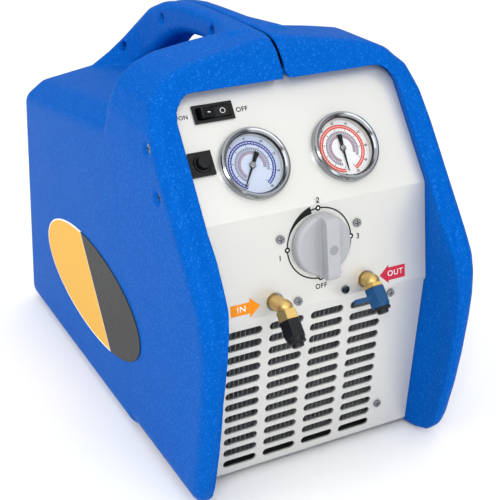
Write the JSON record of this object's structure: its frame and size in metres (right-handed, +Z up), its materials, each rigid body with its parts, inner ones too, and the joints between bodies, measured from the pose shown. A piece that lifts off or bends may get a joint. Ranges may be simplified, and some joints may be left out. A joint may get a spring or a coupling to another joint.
{
  "type": "refrigerant recovery machine",
  "caption": "Portable refrigerant recovery machine: moulded shell with carrying handle, sloped control panel with gauges and valve knob, slotted grille, capped ports.",
  "frame": {"origin": "floor under the middle of the bounding box", "axes": "+Z up, -Y is the front with the control panel, +X is to the right seen from behind the camera at the front"},
  "size_m": [0.2516, 0.4792, 0.3658],
  "materials": {
    "shell_plastic": "pebble-grained moulded blue plastic",
    "panel_sheet": "brushed pale sheet",
    "grille_sheet": "brushed pale sheet",
    "plated_steel": "zinc plated sheet",
    "screw_steel": "bright plated",
    "black_rubber": "matt black",
    "gauge_black": "black enamel",
    "chrome_bezel": "polished",
    "dial_white": "printed white enamel",
    "needle_black": "matt black",
    "gauge_glass": "clear",
    "brass": "machined brass",
    "knob_grey": "light grey moulded plastic",
    "plug_grey": "mid grey plastic",
    "cast_alloy": "cast and machined",
    "black_plastic": "black moulded plastic",
    "cap_black": "black moulded plastic",
    "cap_blue": "dark blue moulded plastic",
    "fin_aluminium": "thin bare sheet",
    "copper": "bare copper tube",
    "motor_paint": "dark grey paint"
  },
  "bodies": {
    "machine": {"left_shell": "shell_plastic", "right_shell": "shell_plastic", "control_panel": "panel_sheet", "grille_panel": "grille_sheet", "base_plate": "plated_steel", "rear_panel": "plated_steel", "rubber_feet": "black_rubber", "panel_screws": "screw_steel", "manifold_screws": "screw_steel", "shell_screws": "screw_steel", "rear_screws": "screw_steel", "low_case": "gauge_black", "low_bezel": "chrome_bezel", "low_dial": "dial_white", "low_lens": "gauge_glass", "low_movement": "brass", "high_case": "gauge_black", "high_bezel": "chrome_bezel", "high_dial": "dial_white", "high_lens": "gauge_glass", "high_movement": "brass", "valve_manifold": "cast_alloy", "switch_housing": "black_plastic", "breaker_housing": "black_plastic", "inlet_fitting": "brass", "outlet_fitting": "brass", "condenser_fins": "fin_aluminium", "condenser_tubes": "copper", "condenser_plates": "plated_steel", "fan_shroud": "black_plastic", "fan_motor": "motor_paint", "fan_bracket": "plated_steel", "compressor_body": "motor_paint", "compressor_cylinder": "cast_alloy", "compressor_head": "cast_alloy", "compressor_mounts": "black_rubber", "capacitor": "cast_alloy", "capacitor_clamp": "plated_steel", "pressure_switch": "brass", "suction_tube": "copper", "discharge_tube": "copper", "liquid_tube": "copper", "gauge_tubes": "copper", "mains_inlet": "black_plastic", "mains_pins": "screw_steel"},
    "knob": {"valve_knob": "knob_grey", "knob_plug": "plug_grey", "valve_stem": "screw_steel"},
    "rocker": {"switch_rocker": "black_plastic"},
    "reset_button": {"breaker_button": "black_plastic"},
    "low_pointer": {"low_needle": "needle_black"},
    "high_pointer": {"high_needle": "needle_black"},
    "inlet_plug": {"inlet_cap": "cap_black"},
    "outlet_plug": {"outlet_cap": "cap_blue"},
    "fan": {"fan_rotor": "black_plastic"}
  },
  "joints": [
    {"name": "knob_turn", "type": "hinge", "parent": "machine", "child": "knob", "pos_m": [0, -0.18954, 0.21383], "axis": [0, 0.9925, -0.1219], "range_deg": [0, 270]},
    {"name": "power_switch_rock", "type": "hinge", "parent": "machine", "child": "rocker", "pos_m": [-0.0661, -0.12997, 0.31484], "axis": [0, -0.5948, -0.8039], "range_deg": [0, 16]},
    {"name": "breaker_press", "type": "slide", "parent": "machine", "child": "reset_button", "axis": [0, 0.8039, -0.5948], "range_m": [0, 0.003], "stiffness_N_per_m": 300},
    {"name": "low_needle_sweep", "type": "hinge", "parent": "machine", "child": "low_pointer", "pos_m": [-0.0446, -0.1609, 0.27976], "axis": [0, 0.8039, -0.5948], "range_deg": [0, 270], "stiffness_Nm_per_rad": 0.001},
    {"name": "high_needle_sweep", "type": "hinge", "parent": "machine", "child": "high_pointer", "pos_m": [0.0386, -0.1609, 0.27976], "axis": [0, 0.8039, -0.5948], "range_deg": [0, 270], "stiffness_Nm_per_rad": 0.001},
    {"name": "inlet_cap_off", "type": "slide", "parent": "machine", "child": "inlet_plug", "axis": [0, -0.7071, -0.7071], "range_m": [0, 0.03]},
    {"name": "outlet_cap_off", "type": "slide", "parent": "machine", "child": "outlet_plug", "axis": [0, -0.7071, -0.7071], "range_m": [0, 0.03]},
    {"name": "fan_spin", "type": "hinge", "parent": "machine", "child": "fan", "pos_m": [0, -0.12679, 0.08654], "axis": [0, -0.9957, -0.0924], "continuous": true}
  ]
}
